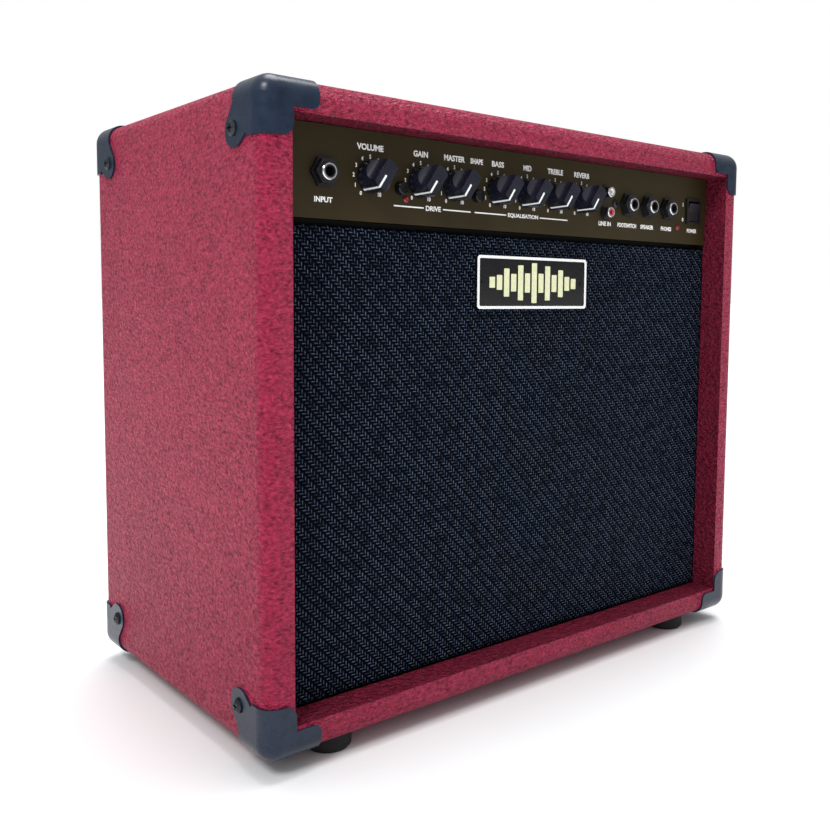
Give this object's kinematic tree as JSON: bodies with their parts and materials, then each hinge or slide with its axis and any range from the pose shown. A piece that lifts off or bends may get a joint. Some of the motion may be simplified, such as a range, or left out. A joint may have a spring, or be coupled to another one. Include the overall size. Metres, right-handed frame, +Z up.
{
  "type": "guitar amplifier",
  "caption": "Open-back guitar combo amplifier with a loudspeaker behind woven grille cloth, knobs, sockets and a rocker switch on a front control panel, and a strap handle.",
  "frame": {"origin": "on the floor plane under the four feet, at the middle of the cabinet's width and depth", "axes": "+X along the cabinet's width, to the right when facing the controls; +Y from the controls to the back; +Z up"},
  "size_m": [0.4878, 0.269, 0.4505],
  "materials": {
    "board_wood": "plain plywood, sanded",
    "vinyl": "pebble-grained leathercloth, satin",
    "corner_black": "satin black enamel",
    "screw_black": "black oxide",
    "foot_rubber": "matte",
    "strap_vinyl": "moulded grain, satin",
    "cap_black": "satin",
    "baffle_black": "black stain",
    "cloth": "basket weave",
    "badge_black": "gloss black field with a cream rim",
    "rear_vinyl": "black-painted board",
    "panel_enamel": "satin dark enamel with cream print",
    "chassis_steel": "zinc-plated sheet",
    "pot_steel": "plated",
    "knob_black": "satin",
    "shaft_metal": "turned",
    "button_black": "polished",
    "switch_plastic": "moulded",
    "lamp_red": "clear red, unlit",
    "switch_black": "satin",
    "socket_black": "moulded",
    "ferrule_chrome": "polished",
    "insert_white": "moulded",
    "insert_red": "moulded",
    "board_green": "solder mask",
    "capacitor_sleeve": "shrink sleeve",
    "transformer_steel": "varnished laminations",
    "heat_sink_metal": "black anodised",
    "basket_steel": "black enamel",
    "magnet_ferrite": "dark ferrite and zinc plate",
    "cone_paper": "pressed paper",
    "surround_cloth": "doped cloth",
    "spider_cloth": "resin-treated cloth"
  },
  "bodies": {
    "cabinet": {"badge_plate": "badge_black", "baffle_board": "baffle_black", "board_capacitors": "capacitor_sleeve", "bottom_board": "board_wood", "button_switches": "switch_plastic", "cabinet_screws": "screw_black", "chassis_bolts": "screw_black", "chassis_tray": "chassis_steel", "control_panel": "panel_enamel", "grille_cloth": "cloth", "grille_frame": "board_wood", "handle_end_caps": "cap_black", "handle_strap": "strap_vinyl", "heat_sink": "heat_sink_metal", "indicator_lamps": "lamp_red", "jack_ferrules": "ferrule_chrome", "jack_nuts": "socket_black", "jack_sockets": "socket_black", "main_circuit_board": "board_green", "mains_inlet": "socket_black", "metal_corners": "corner_black", "mounting_cleats": "board_wood", "phono_block": "socket_black", "phono_insert_red": "insert_red", "phono_insert_white": "insert_white", "phono_rings": "ferrule_chrome", "phono_screw": "screw_black", "potentiometers": "pot_steel", "rear_panel_lower": "rear_vinyl", "rear_panel_upper": "rear_vinyl", "rocker_housing": "switch_black", "rubber_feet": "foot_rubber", "side_board_left": "board_wood", "side_board_right": "board_wood", "speaker_basket": "basket_steel", "speaker_magnet": "magnet_ferrite", "speaker_screws": "screw_black", "speaker_spider": "spider_cloth", "speaker_surround": "surround_cloth", "top_board": "board_wood", "transformer": "transformer_steel", "vinyl_covering": "vinyl"},
    "volume": {"volume_knob": "knob_black", "volume_shaft": "shaft_metal"},
    "crunch": {"crunch_knob": "knob_black", "crunch_shaft": "shaft_metal"},
    "master": {"master_knob": "knob_black", "master_shaft": "shaft_metal"},
    "bass": {"bass_knob": "knob_black", "bass_shaft": "shaft_metal"},
    "middle": {"middle_knob": "knob_black", "middle_shaft": "shaft_metal"},
    "treble": {"treble_knob": "knob_black", "treble_shaft": "shaft_metal"},
    "reverb": {"reverb_knob": "knob_black", "reverb_shaft": "shaft_metal"},
    "drive": {"drive_button": "button_black"},
    "shape": {"shape_button": "button_black"},
    "rocker": {"power_rocker": "switch_black"},
    "cone": {"speaker_cone": "cone_paper"}
  },
  "joints": [
    {"name": "volume_turn", "type": "hinge", "parent": "cabinet", "child": "volume", "pos_m": [-0.15, -0.1122, 0.372], "axis": [0, 1, 0], "range_deg": [0, 290]},
    {"name": "crunch_turn", "type": "hinge", "parent": "cabinet", "child": "crunch", "pos_m": [-0.1083, -0.1122, 0.372], "axis": [0, 1, 0], "range_deg": [0, 290]},
    {"name": "master_turn", "type": "hinge", "parent": "cabinet", "child": "master", "pos_m": [-0.0782, -0.1122, 0.372], "axis": [0, 1, 0], "range_deg": [0, 290]},
    {"name": "bass_turn", "type": "hinge", "parent": "cabinet", "child": "bass", "pos_m": [-0.0368, -0.1122, 0.372], "axis": [0, 1, 0], "range_deg": [0, 290]},
    {"name": "middle_turn", "type": "hinge", "parent": "cabinet", "child": "middle", "pos_m": [-0.0067, -0.1122, 0.372], "axis": [0, 1, 0], "range_deg": [0, 290]},
    {"name": "treble_turn", "type": "hinge", "parent": "cabinet", "child": "treble", "pos_m": [0.0234, -0.1122, 0.372], "axis": [0, 1, 0], "range_deg": [0, 290]},
    {"name": "reverb_turn", "type": "hinge", "parent": "cabinet", "child": "reverb", "pos_m": [0.0535, -0.1122, 0.372], "axis": [0, 1, 0], "range_deg": [0, 290]},
    {"name": "drive_press", "type": "slide", "parent": "cabinet", "child": "drive", "axis": [0, 1, 0], "range_m": [0, 0.003], "stiffness_N_per_m": 400},
    {"name": "shape_press", "type": "slide", "parent": "cabinet", "child": "shape", "axis": [0, 1, 0], "range_m": [0, 0.003], "stiffness_N_per_m": 400},
    {"name": "power_rock", "type": "hinge", "parent": "cabinet", "child": "rocker", "pos_m": [0.2, -0.1092, 0.372], "axis": [-1, 0, 0], "range_deg": [0, 14]},
    {"name": "cone_travel", "type": "slide", "parent": "cabinet", "child": "cone", "axis": [0, 1, 0], "range_m": [-0.004, 0.004], "stiffness_N_per_m": 2500, "deforming": ["speaker_surround", "speaker_spider"]}
  ]
}
